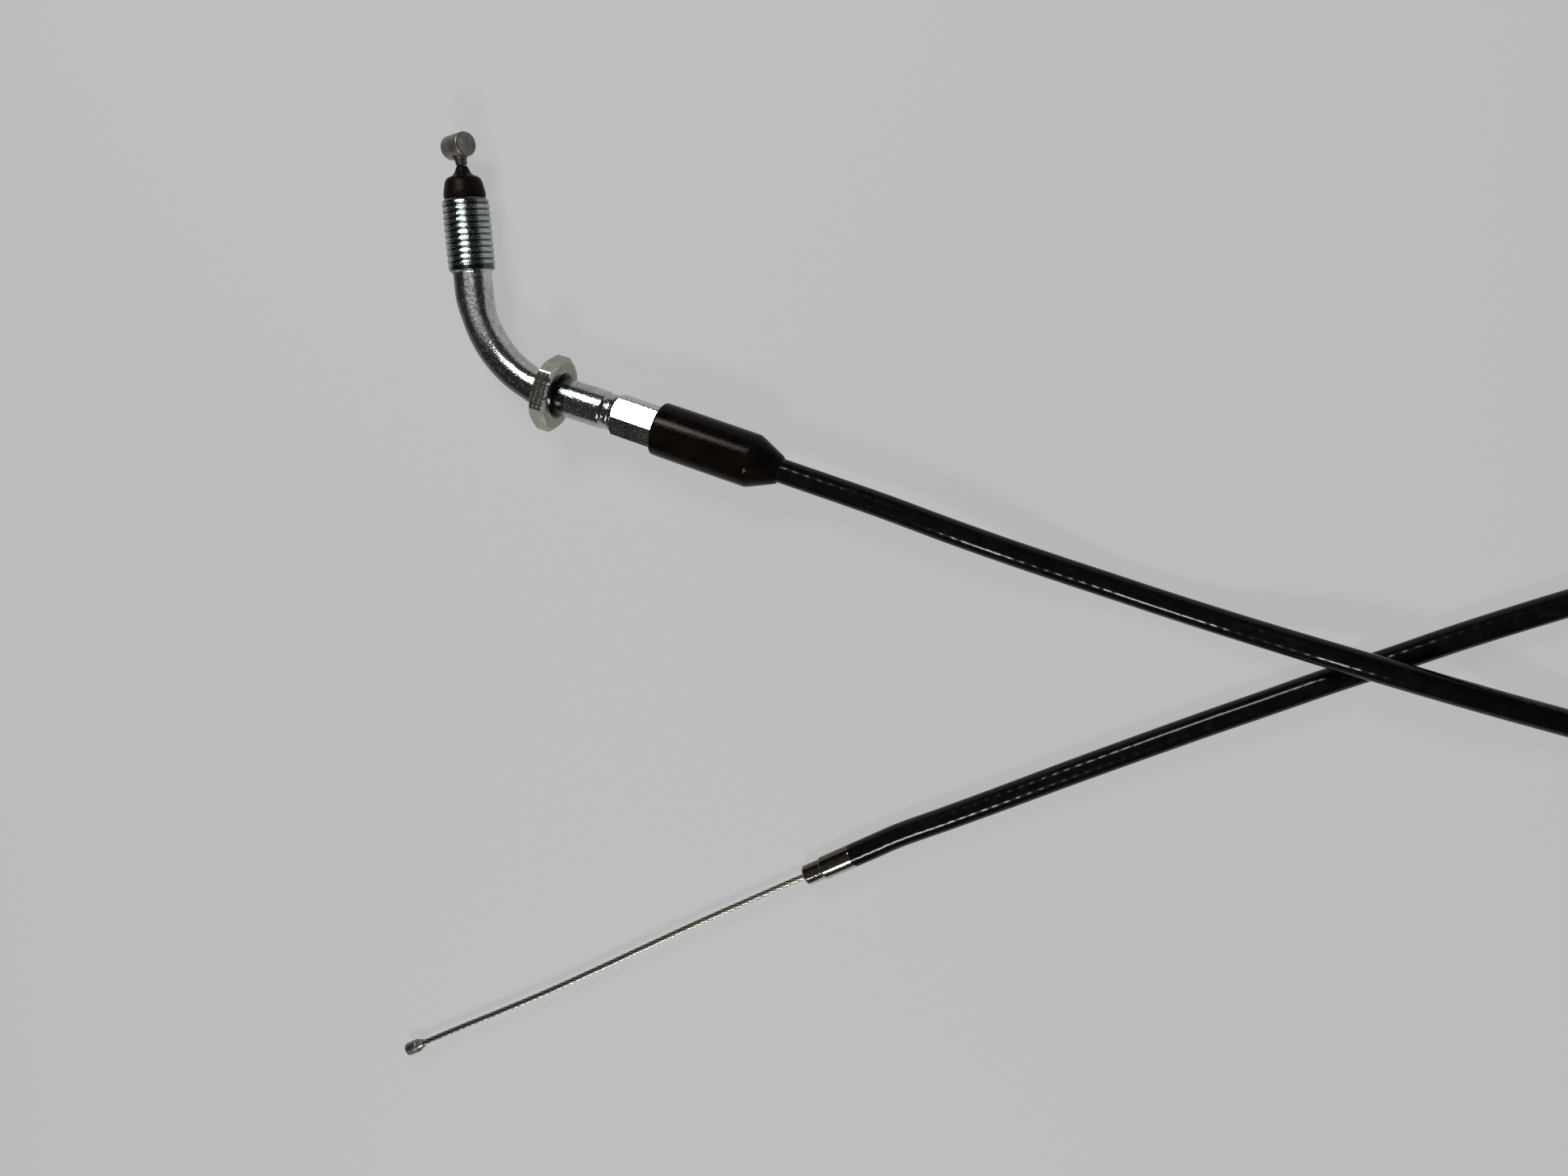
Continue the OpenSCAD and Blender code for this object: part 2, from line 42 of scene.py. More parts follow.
# ---- Sizes, in millimetres, as in the part's source ----------------------------------------------
THREAD_R, THREAD_ROOT_R, THREAD_PITCH, THREAD_LEN, THREAD_TAPER = 5.0, 4.66, 1.25, 15, 2.6
TUBE_R, TUBE_BORE_R, NECK_LEN, BEND_R, BEND_DEG = 4.0, 2.5, 3.5, 24.2, 70
ARM_LEN, ARM_END, LIP_R = 12.4, 14.4, 3.75
SEAL_BASE_R, SEAL_SHOULDER_R, SEAL_NECK_R, SEAL_TOP = 4.35, 3.8, 1.15, 6.5
WIRE_R, WIRE_LAY, STRANDS = 0.65, 11, 6
BARREL_R, BARREL_LEN, BARREL_LEAN, BARREL_AT, BARREL_NECK_R = 2.5, 6, 29, 18.1, 1.15
BARREL_ASIDE = 0.4
NUT_AF, NUT_T, NUT_BORE_R, NUT_MOUTH_R, NUT_ROLL = 14, 4, 4.325, 5.0, 53
HEX_AF, HEX_ROLL, TILT = 8, 33, 1.2
SLEEVE_FROM, SLEEVE_TO, SLEEVE_END_T = 14.6, 27.6, 1.6
JAM_FROM, JAM_TO = 27.7, 31.2
BOLT_R, BOLT_PITCH, BOLT_TIP = 2.95, 1.0, 16.8
CRIMP_R, CRIMP_FROM, CRIMP_TO, SEAT_AT = 3.7, 31.7, 45.5, 35.5
BOOT_FROM, BOOT_SEAT, BOOT_CYL_TO, BOOT_TO = 24.6, 45.6, 46.4, 51.8
BOOT_BORE_R, BOOT_R, BOOT_TAIL_R, BOOT_TRAVEL = 4.799, 5.599, 2.9, 22
CASING_R, LINER_R = 2.5, 1.2
FERRULE_BODY, FERRULE_LEN, FERRULE_NOSE_R = 7.4, 11.8, 2.2
SPIGOT_R, SPIGOT_LEN = 1.85, 6
STUD_R, STUD_FROM, STUD_TO, COLLAR_FROM = 1.5, 121.9, 125.3, 120.3
# The lock nut's lowest corner rests on the surface, which is this far below the tube's plane.
REST_DROP = NUT_AF / 2 / math.cos(math.radians(30)) * math.cos(math.radians(30 - NUT_ROLL))
COIL_R, COIL_STEP, COIL_DEG, COIL_FIRST, COIL_CENTRE = 29.5, 5.5, 940, -90, (267.4, 32.5)
STRAP_T, STRAP_W, STRAP_HEAD, STRAP_RINGS = 0.6, 4, (5.2, 5), 72
FERRULE_AT, FERRULE_HEADING, END_LEN = (88.4, -75.35), 225, 11


# ---- Where the straight lengths lie: x runs along each -------------------------------------------
def moved(*by):
    """A move in millimetres."""
    return Matrix.Translation([distance * MM for distance in by])


def spun(degrees, axis="Z"):
    """A turn about an axis through the origin."""
    return Matrix.Rotation(math.radians(degrees), 4, axis)


BEND_START = -(THREAD_LEN / 2 + NECK_LEN)
bend = math.radians(BEND_DEG)
ARM_AT = Vector((BEND_R * (1 - math.cos(bend)), BEND_START - BEND_R * math.sin(bend), 0))
ARM = Matrix.Translation(ARM_AT * MM) @ spun(BEND_DEG - 90)
ADJUSTER = ARM @ moved(ARM_END, 0, 0) @ spun(-TILT) @ moved(-ARM_END, 0, 0)
CARB = ARM @ moved(*FERRULE_AT, CASING_R - REST_DROP) @ spun(FERRULE_HEADING)
GRIP = spun(90)

# ---- Camera --------------------------------------------------------------------------------------
VIEW_POINT, VIEW_BACK = (63.4236, -76.1982, 0), 280
VIEW_TILT, VIEW_PAN = 9.8, -16
SENSOR_W, FOCAL_SHARE = 36, 1700 / 1946      # the focal length's share of the frame's width
UPRIGHT = moved(*VIEW_POINT) @ spun(-4)
camera = bpy.data.objects.new("camera", bpy.data.cameras.new("camera"))
bpy.context.scene.collection.objects.link(camera)
bpy.context.scene.camera = camera
camera.data.sensor_width = SENSOR_W
camera.data.lens = SENSOR_W * FOCAL_SHARE
camera.data.clip_start = 0.01
camera.matrix_world = (UPRIGHT @ (spun(VIEW_TILT, "X") @ spun(VIEW_PAN, "Y")).transposed()
                       @ moved(0, 0, VIEW_BACK))


# ---- Skins ---------------------------------------------------------------------------------------
def new_piece(name, points, faces, place=Matrix(), sharp=35):
    """A smooth mesh piece whose faces that meet at more than sharp degrees keep their edge."""
    mesh = bpy.data.meshes.new(name)
    mesh.from_pydata([Vector(p) * MM for p in points], [], faces)
    mesh.validate()
    mesh.polygons.foreach_set("use_smooth", [True] * len(mesh.polygons))
    mesh.set_sharp_from_angle(angle=math.radians(sharp))
    piece = bpy.data.objects.new(name, mesh)
    bpy.context.scene.collection.objects.link(piece)
    piece.matrix_world = place
    return piece


def ring_faces(count, sides, closed=False, first=0):
    """Faces of a skin over rings of points: capped at both ends, or closed on itself."""
    faces = []
    for i in range(count if closed else count - 1):
        a, b = first + i * sides, first + (i + 1) % count * sides
        for k in range(sides):
            k2 = (k + 1) % sides
            faces.append((a + k, b + k, b + k2, a + k2))
    if not closed:
        faces.append(tuple(first + k for k in range(sides)))
        faces.append(tuple(first + (count - 1) * sides + k for k in reversed(range(sides))))
    return faces


def eased(profile, radius=0.15, steps=3, closed=True):
    """The profile with its corners rounded."""
    out = []
    count = len(profile)
    for i, corner in enumerate(profile):
        p = Vector(corner)
        if not closed and i in (0, count - 1):
            out.append(corner)
            continue
        to_last, to_next = Vector(profile[i - 1]) - p, Vector(profile[(i + 1) % count]) - p
        cut = min(radius, 0.45 * to_last.length, 0.45 * to_next.length)
        start, end = p + to_last.normalized() * cut, p + to_next.normalized() * cut
        for n in range(steps + 1):
            t = n / steps
            out.append(tuple(start * (1 - t) ** 2 + p * 2 * t * (1 - t) + end * t * t))
    return out


def turned(name, profile, place, sides=64, closed=True, sharp=35):
    """A piece turned about x. The profile is [place along x, radius] points, or a function of the
    angle that gives them."""
    angles = [TURN * k / sides for k in range(sides)]
    columns = [profile(angle) if callable(profile) else profile for angle in angles]
    points = [(x, r * math.cos(angle), r * math.sin(angle))
              for ring in zip(*columns) for angle, (x, r) in zip(angles, ring)]
    return new_piece(name, points, ring_faces(len(columns[0]), sides, closed), place, sharp)


def hexagon_r(across, angle, roll):
    """Distance from the axis to a hexagon's side. A corner, just blunted, is at roll."""
    off = (angle - math.radians(roll)) % (math.pi / 3) - math.pi / 6
    return min(across / 2 / math.cos(off), across / 2 / math.cos(math.pi / 6) - 0.05)


def thread_r(x, angle, crest, root, pitch, reach, broad=0.5):
    """Radius of a rolled screw thread with blunt crests. Its flank towards x = 0 takes broad of the
    pitch, and reach is the share of the full depth, held between 0 and 1."""
    height = 0
    for shift in (-0.08, -0.04, 0, 0.04, 0.08):
        turn = (x / pitch - angle / TURN + shift) % 1
        height += min(turn / broad, (1 - turn) / (1 - broad)) / 5
    return root + (crest - root) * min(1, max(0, reach)) * height


def tube_rings(path, radius, sides):
    """Rings of a round tube along a path, without twist, and the distance along it of each."""
    rings, along, length = [], [], 0
    side = (path[1] - path[0]).cross(Vector((0, 0, 1)))
    for i, p in enumerate(path):
        ahead = (path[min(i + 1, len(path) - 1)] - path[max(i - 1, 0)]).normalized()
        side = (side - ahead * side.dot(ahead)).normalized()
        up = side.cross(ahead)
        length += (p - path[max(i - 1, 0)]).length
        along.append(length)
        for k in range(sides):
            angle = TURN * k / sides
            rings.append(p + (side * math.cos(angle) + up * math.sin(angle)) * radius)
    return rings, along


def smooth_path(points, step):
    """A smooth curve through the points, with a point about every step."""
    def blend(p, q, start, end, t):
        return (p * (end - t) + q * (t - start)) / (end - start)

    pts = [points[0] * 2 - points[1], *points, points[-1] * 2 - points[-2]]
    out = []
    for a, b, c, d in zip(pts, pts[1:], pts[2:], pts[3:]):
        ta = (b - a).length ** 0.5
        tb = ta + (c - b).length ** 0.5
        tc = tb + (d - c).length ** 0.5
        count = max(1, round((c - b).length / step))
        for n in range(count):
            t = ta + (tb - ta) * n / count
            p, q, r = blend(a, b, 0, ta, t), blend(b, c, ta, tb, t), blend(c, d, tb, tc, t)
            out.append(blend(blend(p, q, 0, tb, t), blend(q, r, ta, tc, t), ta, tb, t))
    return out + [points[-1].copy()]


# ---- Casing: one free cord from the adjuster's bolt to the ferrule -------------------------------
# Points are [along the arm, across it, height above the surface].
GRIP_ROUTE = [
    (88, -1.9, 7.2), (99, -2.4, 6.1), (110, -2.9, 4.1), (121, -3.2, 2.7), (132, -3.3, 2.5),
    (143, -3.1, 3.3), (153, -2.6, 5.4), (163, -2, 7.5), (173, -1.6, 8.1), (183, -1.4, 7.5),
    (193, -1.3, 5.9), (204, -1.1, 4), (215, -0.8, 2.8), (227, -0.5, 2.5), (240, -0.2, 2.5),
    (252, 0.1, 2.8)]
CARB_ROUTE = [
    (233.5, 48.8, 8.6), (222, 39.5, 7), (211, 30.5, 4.5), (200.5, 22, 2.8), (191, 14.5, 2.5),
    (182, 7.2, 2.5), (174, 0.4, 2.5), (165, -7.1, 2.5), (155.5, -15.3, 2.5), (145.5, -23.9, 2.5),
    (135, -33.1, 2.5), (124.5, -42.4, 2.5), (113.5, -52.3, 2.5), (105, -59.85, 2.5)]
COIL_OUTER_R = COIL_R + COIL_STEP * COIL_DEG / 1440
COIL_LOW = CASING_R + STRAP_T + 0.1
COIL_LEAD = 5         # straight length on either side of the coil
PATH_STEP = 1.1
CASING_SIDES = 32
BORE_RINGS = 10       # the casing is open for this many steps behind the ferrule, where the wire slides in


def coil_point(turn):
    """A point of the coil, which spirals in and then out again one layer higher."""
    radius = COIL_OUTER_R - COIL_STEP / 360 * min(turn, COIL_DEG - turn)
    rise = min(1, max(0, (turn - COIL_DEG / 2 + 90) / 180))
    angle = math.radians(COIL_FIRST + turn)
    return Vector((COIL_CENTRE[0] + radius * math.cos(angle), COIL_CENTRE[1] + radius * math.sin(angle),
                   COIL_LOW + COIL_STEP * rise * rise * (3 - 2 * rise)))


def casing_path():
    """The casing's centreline."""
    coil_rings = math.ceil(COIL_DEG / 15)
    loops = [coil_point(i * COIL_DEG / coil_rings) for i in range(coil_rings + 1)]
    into = (coil_point(1) - coil_point(0)).normalized() * COIL_LEAD
    out = (coil_point(COIL_DEG) - coil_point(COIL_DEG - 1)).normalized() * COIL_LEAD
    heading = math.radians(FERRULE_HEADING)
    ferrule = Vector((*FERRULE_AT, CASING_R))
    back = Vector((math.cos(heading), math.sin(heading), 0)) * END_LEN
    tilt = math.radians(TILT)
    points = [Vector((ARM_END + (x - ARM_END) * math.cos(tilt), -(x - ARM_END) * math.sin(tilt), REST_DROP))
              for x in (SEAT_AT, (SEAT_AT + BOOT_TO) / 2, BOOT_TO, BOOT_TO + BOOT_TRAVEL)]
    points += [Vector(p) for p in GRIP_ROUTE] + [loops[0] - into] + loops + [loops[-1] + out]
    points += [Vector(p) for p in CARB_ROUTE] + [ferrule - back, ferrule - back / 2, ferrule]
    return [ARM @ ((p - Vector((0, 0, REST_DROP))) * MM) / MM for p in smooth_path(points, PATH_STEP)]


line = casing_path()
rings, casing_along = tube_rings(line, CASING_R, CASING_SIDES)
for i in range(len(line) - 1, len(line) - 1 - BORE_RINGS, -1):
    outside = rings[i * CASING_SIDES:(i + 1) * CASING_SIDES]
    rings += [line[i] + (p - line[i]) * (LINER_R / CASING_R) for p in outside]
casing = new_piece("casing", rings, ring_faces(len(line) + BORE_RINGS, CASING_SIDES), sharp=60)
casing_length = casing_along[-1]
casing_along += casing_along[:-1 - BORE_RINGS:-1]
along = casing.data.attributes.new("along", "FLOAT", "POINT")
along.data.foreach_set("value", [a for a in casing_along for _ in range(CASING_SIDES)])


# ---- Inlet tube ----------------------------------------------------------------------------------
def tube_station(s):
    """Centre and sideways direction of the tube, s past its mouth."""
    if s < BEND_FROM:
        return Vector((0, THREAD_LEN / 2 - s, 0)), Vector((1, 0, 0))
    turn = min((s - BEND_FROM) / BEND_R, bend)
    side = Vector((math.cos(turn), math.sin(turn), 0))
    centre = Vector((BEND_R, BEND_START, 0)) - side * BEND_R
    ahead = Vector((math.sin(turn), -math.cos(turn), 0))
    return centre + ahead * max(0, s - BEND_FROM - BEND_LEN), side


BEND_FROM, BEND_LEN = THREAD_LEN + NECK_LEN, BEND_R * bend
TUBE_END = BEND_FROM + BEND_LEN + ARM_END
BEND_FLAT = 0.1       # share of its width that the tube loses across the bend
ROLLED_END = eased([(TUBE_END - 3.0, TUBE_R), (TUBE_END - 2.1, TUBE_R), (TUBE_END - 1.6, LIP_R - 0.3),
                    (TUBE_END - 1.4, LIP_R - 0.3), (TUBE_END - 1.1, LIP_R), (TUBE_END - 0.25, LIP_R),
                    (TUBE_END, LIP_R - 0.25), (TUBE_END, 2.12), (TUBE_END - 2, 2.12), (TUBE_END - 2.05, 2.5)],
                   0.2, closed=False)


def elbow_skin():
    """The threaded, bent and rolled tube, outside and inside."""
    sides, thread_steps = 96, int(THREAD_LEN / THREAD_PITCH * 20)
    stations = [(THREAD_LEN * n / thread_steps, None) for n in range(thread_steps + 1)]
    stations += [(THREAD_LEN + 0.35, TUBE_R), (THREAD_LEN + 0.5, TUBE_R)]
    stations += [(BEND_FROM + BEND_LEN * n / 40, TUBE_R) for n in range(41)]
    flattened = range(thread_steps + 1, len(stations))
    stations += ROLLED_END
    stations += [(BEND_FROM + BEND_LEN * n / 30, TUBE_BORE_R) for n in range(30, -1, -1)]
    stations += [(0.5, TUBE_BORE_R), (0.0, TUBE_BORE_R)]
    points = []
    for i, (s, radius) in enumerate(stations):
        centre, side = tube_station(s)
        if i in flattened:
            part = min(1, max(0, (s - BEND_FROM) / BEND_LEN))
            side = side * (1 - BEND_FLAT * min(1, 1.8 * math.sin(math.pi * part)) ** 2)
        for k in range(sides):
            angle, r = TURN * k / sides, radius
            if r is None:
                reach = min(s + 0.45, THREAD_LEN - s + 0.3) / THREAD_TAPER
                r = thread_r(s, angle, THREAD_R, THREAD_ROOT_R, THREAD_PITCH, reach, 0.7)
                r = min(r, 4.15 + 0.9 * s, 4.2 + 1.6 * (THREAD_LEN - s))
            points.append(centre + side * (r * math.cos(angle)) + Vector((0, 0, r * math.sin(angle))))
    return new_piece("elbow", points, ring_faces(len(stations), sides, closed=True), sharp=50)


elbow = elbow_skin()

# ---- Dust seal -----------------------------------------------------------------------------------
MOUTH = THREAD_LEN / 2
seal = turned("seal", eased([
    (MOUTH - 3, 0.8), (MOUTH - 3, 2.42), (MOUTH + 0.02, 2.44), (MOUTH + 0.02, SEAL_BASE_R - 0.2),
    (MOUTH + 0.3, SEAL_BASE_R), (MOUTH + 1.2, SEAL_BASE_R - 0.05), (MOUTH + 3.4, SEAL_SHOULDER_R + 0.02),
    (MOUTH + 4.1, SEAL_SHOULDER_R - 0.4), (MOUTH + 4.6, SEAL_NECK_R + 1.05), (MOUTH + 5.2, SEAL_NECK_R + 0.5),
    (MOUTH + 5.9, SEAL_NECK_R + 0.24), (MOUTH + SEAL_TOP - 0.1, SEAL_NECK_R),
    (MOUTH + SEAL_TOP, SEAL_NECK_R - 0.12), (MOUTH + SEAL_TOP, 0.8)], 0.35, 4), GRIP, 72)


# ---- Wire: six strands laid round a core ---------------------------------------------------------
WIRE_SWAY = [(11, 0), (16, -0.1), (32, -0.1), (84, 0.6), (119.5, 0)]
WIRE_STEP = 0.42


def sway(x):
    """How far the bare wire lies to the side at x: WIRE_SWAY has [x, distance] points."""
    for (a, off_a), (b, off_b) in zip(WIRE_SWAY, WIRE_SWAY[1:]):
        if a < x < b:
            t = (x - a) / (b - a)
            return off_a + (off_b - off_a) * t * t * (3 - 2 * t)
    return 0


def stranded(name, start, end, place, off=lambda x: 0):
    """A wire along x, which lies off to the side. Its strands are a little full, so they touch. The
    attribute crown is 1 on a strand's outside and -1 on its inside and on the core."""
    strand_r = WIRE_R / 3
    full_r, sides = strand_r * 1.04, 10
    points, faces, crowns = [], [], []
    count = round((end - start) / WIRE_STEP)
    for j in range(STRANDS + 1):
        first = len(points)
        out = 0 if j == STRANDS else WIRE_R - strand_r
        lean = math.atan(TURN * out / WIRE_LAY)
        for n in range(count + 1):
            x = start + (end - start) * n / count
            turn = TURN * (x / WIRE_LAY + j / STRANDS)
            radial = Vector((0, math.cos(turn), math.sin(turn)))
            level = Vector((0, -math.sin(turn), math.cos(turn)))
            across = level * math.cos(lean) - Vector((math.sin(lean), 0, 0))
            for k in range(sides):
                angle = TURN * k / sides
                points.append(Vector((x, off(x), 0)) + radial * (out + full_r * math.cos(angle))
                              + across * (full_r * math.sin(angle)))
                crowns.append(math.cos(angle) if out else -1)
        faces += ring_faces(count + 1, sides, first=first)
    wire = new_piece(name, points, faces, place, sharp=60)
    wire.data.attributes.new("crown", "FLOAT", "POINT").data.foreach_set("value", crowns)
    return wire


grip_strands = stranded("grip_strands", -11, BARREL_AT + BARREL_R - 0.25, GRIP)
carb_strands = stranded("carb_strands", FERRULE_LEN - 1, STUD_TO - 0.25, CARB, off=sway)

# ---- Nipples -------------------------------------------------------------------------------------
NECK_FROM = MOUTH + SEAL_TOP + 0.2
NECK_H = BARREL_AT - NECK_FROM
BARREL = GRIP @ moved(BARREL_AT, BARREL_ASIDE, 0) @ spun(-90) @ spun(-BARREL_LEAN, "Y")
NECK = GRIP @ moved(NECK_FROM, 0, 0) @ spun(math.degrees(BARREL_ASIDE / NECK_H))
half = BARREL_LEN / 2
barrel = turned("barrel", eased([
    (-half + 0.12, 0), (-half, 1.2), (-half, BARREL_R - 0.25), (-half + 0.25, BARREL_R), (-0.12, BARREL_R),
    (0, BARREL_R + 0.035), (0.12, BARREL_R), (half - 0.22, BARREL_R), (half - 0.05, BARREL_R - 0.14),
    (half, BARREL_R - 0.4), (half - 0.06, 1.1), (half - 0.1, 0)], 0.12, closed=False),
    BARREL, 72, closed=False)
barrel_neck = turned("barrel_neck", eased([
    (0, 0.72), (0, BARREL_NECK_R - 0.1), (0.15, BARREL_NECK_R),
    (NECK_H - BARREL_R - 0.3, BARREL_NECK_R + 0.1), (NECK_H - 1.0, 2.0), (NECK_H - 1.0, 0.2)],
    0.2, closed=False), NECK, 48, closed=False)
stud = turned("stud", eased([
    (COLLAR_FROM, 0.68), (COLLAR_FROM + 0.1, 0.86), (STUD_FROM - 0.5, 1.16), (STUD_FROM - 0.25, 1.2),
    (STUD_FROM - 0.02, 1.22), (STUD_FROM, STUD_R - 0.16), (STUD_FROM + 0.2, STUD_R),
    (STUD_TO - 0.25, STUD_R), (STUD_TO - 0.02, STUD_R - 0.22), (STUD_TO, 1.0), (STUD_TO - 0.12, 0.72),
    (STUD_TO - 0.05, 0.4), (STUD_TO - 0.02, 0)], 0.08, closed=False), CARB, 56, closed=False)


# ---- Nuts and the adjuster -----------------------------------------------------------------------
def hex_nut(name, across, start, end, roll, inner, place, cuts, slope):
    """A hexagon with its corners turned off at a slope: cuts has each end face's share of the width
    across flats. inner is the bore's profile as a function of the angle, from the end back to the start."""
    def column(angle):
        side_r = hexagon_r(across, angle, roll)
        near_r, far_r = (min(side_r - 0.06, across / 2 * cut) for cut in cuts)
        near, far = ((side_r - r) * math.tan(math.radians(slope)) for r in (near_r, far_r))
        outer = [(start, near_r - 0.12), (start + 0.03, near_r - 0.02), (start + near + 0.02, side_r),
                 (start + near + 0.25, side_r), (end - far - 0.25, side_r),
                 (end - far - 0.02, side_r), (end - 0.03, far_r - 0.02), (end, far_r - 0.12)]
        return outer + inner(angle)
    return turned(name, column, place, 192, sharp=28)


def nut_bore(angle):
    """The lock nut's countersunk mouths and the thread between them."""
    half_t = NUT_T / 2
    steps = int(NUT_T / THREAD_PITCH * 12)
    column = [(half_t, NUT_MOUTH_R + 0.1), (half_t - 0.05, NUT_MOUTH_R)]
    for n in range(steps + 1):
        x = half_t - 0.1 - (NUT_T - 0.2) * n / steps
        cone = NUT_BORE_R + max(0, abs(x) - half_t + NUT_MOUTH_R - NUT_BORE_R)
        cut = 0.55 * (0.5 + 0.5 * math.cos(TURN * x / THREAD_PITCH - angle))
        column.append((x, max(cone, NUT_BORE_R + cut)))
    return column + [(-half_t + 0.05, NUT_MOUTH_R), (-half_t, NUT_MOUTH_R + 0.1)]


def sleeve_bore(angle):
    """The sleeve's threaded bore, then its collar in the tube's rolled end."""
    shelf = SLEEVE_FROM + SLEEVE_END_T
    return [(SLEEVE_TO, SLEEVE_BORE_R + 0.35), (SLEEVE_TO - 0.35, SLEEVE_BORE_R), (shelf, SLEEVE_BORE_R),
            (shelf, LINER_R), (ARM_LEN - 2.6, LINER_R), (ARM_LEN - 2.6, 2.15), (ARM_LEN - 2.45, 2.3),
            (ARM_LEN - 0.2, 2.3), (ARM_LEN - 0.2, 1.9), (SLEEVE_FROM - 0.02, 1.9), (SLEEVE_FROM, 2.5)]


def jam_bore(angle):
    """The jam nut's bore with its two mouths."""
    return [(JAM_TO, SLEEVE_BORE_R + 0.3), (JAM_TO - 0.3, SLEEVE_BORE_R),
            (JAM_FROM + 0.3, SLEEVE_BORE_R), (JAM_FROM, SLEEVE_BORE_R + 0.3)]


SLEEVE_BORE_R = BOLT_R + 0.05
lock_nut = hex_nut("lock_nut", NUT_AF, -NUT_T / 2, NUT_T / 2, NUT_ROLL, nut_bore, ARM, (0.95, 1.0), 30)
sleeve = hex_nut("sleeve", HEX_AF, SLEEVE_FROM, SLEEVE_TO, HEX_ROLL, sleeve_bore, ADJUSTER, (0.92, 0.92), 45)
jam_nut = hex_nut("jam_nut", HEX_AF, JAM_FROM, JAM_TO, HEX_ROLL, jam_bore, ADJUSTER, (0.92, 0.92), 45)


def bolt_column(angle):
    """The adjuster bolt: its thread, then the barrel with two crimped rings, then its bore."""
    steps = int((CRIMP_FROM - BOLT_TIP) / BOLT_PITCH * 10)
    column = [(BOLT_TIP, BOLT_R - 0.75)]
    for n in range(1, steps):
        x = BOLT_TIP + (CRIMP_FROM - BOLT_TIP) * n / steps
        reach = min(x - BOLT_TIP, CRIMP_FROM - x) / 0.9
        column.append((x, thread_r(x, angle, BOLT_R, BOLT_R - 0.55, BOLT_PITCH, reach)))
    column += [(CRIMP_FROM, BOLT_R - 0.5), (CRIMP_FROM, CRIMP_R - 0.3), (CRIMP_FROM + 0.3, CRIMP_R)]
    dent_r = CRIMP_R - 0.16
    for at in (CRIMP_FROM + 3.5, CRIMP_FROM + 8.5):
        column += [(at - 0.7, CRIMP_R), (at - 0.35, dent_r), (at + 0.35, dent_r), (at + 0.7, CRIMP_R)]
    return column + [(CRIMP_TO - 0.5, CRIMP_R), (CRIMP_TO - 0.1, CRIMP_R - 0.45), (CRIMP_TO, CRIMP_R - 0.6),
                     (CRIMP_TO, CASING_R + 0.05), (SEAT_AT, CASING_R + 0.05), (SEAT_AT, LINER_R + 0.05),
                     (BOLT_TIP, LINER_R + 0.05)]


bolt = turned("bolt", bolt_column, ADJUSTER, 64)

# ---- Boot ----------------------------------------------------------------------------------------
boot = turned("boot", eased([
    (BOOT_FROM, BOOT_BORE_R + 0.02), (BOOT_FROM, BOOT_R - 0.3), (BOOT_FROM + 0.35, BOOT_R - 0.02),
    (BOOT_FROM + 6, BOOT_R), (BOOT_CYL_TO - 0.7, BOOT_R - 0.02), (BOOT_CYL_TO - 0.3, BOOT_R - 0.14),
    (BOOT_CYL_TO + 0.1, BOOT_R - 0.3), (BOOT_TO - 0.3, BOOT_TAIL_R + 0.1), (BOOT_TO, BOOT_TAIL_R - 0.2),
    (BOOT_TO, CASING_R + 0.07), (BOOT_SEAT, CASING_R + 0.07), (BOOT_SEAT, BOOT_BORE_R - 1),
    (BOOT_SEAT - 1, BOOT_BORE_R)], 0.3, 4), ADJUSTER, 96)

# ---- Ferrule, and the casing's stripped end in it ------------------------------------------------
ferrule = turned("ferrule", eased([
    (0, SPIGOT_R + 0.05), (0, CASING_R - 0.12), (0.15, CASING_R), (FERRULE_BODY - 0.25, CASING_R),
    (FERRULE_BODY, CASING_R - 0.12), (FERRULE_BODY + 0.08, FERRULE_NOSE_R),
    (FERRULE_LEN - 0.35, FERRULE_NOSE_R), (FERRULE_LEN, FERRULE_NOSE_R - 0.35), (FERRULE_LEN, 0.8),
    (SPIGOT_LEN + 0.1, 0.8), (SPIGOT_LEN + 0.1, SPIGOT_R + 0.05)], 0.1, 3), CARB, 72)
spigot = turned("spigot", [
    (0, LINER_R + 0.05), (0, SPIGOT_R), (SPIGOT_LEN, SPIGOT_R), (SPIGOT_LEN, LINER_R + 0.05)], CARB, 48)


# ---- Straps round the coil -----------------------------------------------------------------------
def strap(name, side):
    """A flat strap drawn round the coil's turns on one side, with its small head on top."""
    facing = spun(side)
    held = [facing.inverted() @ (coil_point(turn) - Vector((*COIL_CENTRE, 0)))
            for turn in range(side - COIL_FIRST, COIL_DEG, 360)]
    half_w, outside = STRAP_W / 2, CASING_R + 0.1 + STRAP_T
    section = eased([(-half_w, outside), (half_w, outside), (half_w, outside - STRAP_T),
                     (-half_w, outside - STRAP_T)], 0.18, 2)
    points = []
    for n in range(STRAP_RINGS):
        way = Vector((math.cos(TURN * n / STRAP_RINGS), 0, math.sin(TURN * n / STRAP_RINGS)))
        points += [max(held, key=way.dot) + way * r + Vector((0, y, 0)) for y, r in section]
    faces = ring_faces(STRAP_RINGS, len(section), closed=True)
    x, y = STRAP_HEAD[0] / 2, STRAP_HEAD[1] / 2
    head = eased([(-x, -y), (x, -y), (x, y), (-x, y)], 0.5, 3)
    top, first = max(held, key=lambda place: place.z), len(points)
    levels = [(outside - 0.2, 0.99), (outside + 1.3, 1.0), (outside + 1.6, 0.93)]
    points += [top + Vector((x * f, y * f, z)) for z, f in levels for x, y in head]
    faces += ring_faces(len(levels), len(head), first=first)
    return new_piece(name, points, faces, ARM @ moved(*COIL_CENTRE, -REST_DROP) @ facing, sharp=40)


straps = [strap("strap_a", 0), strap("strap_b", 180)]

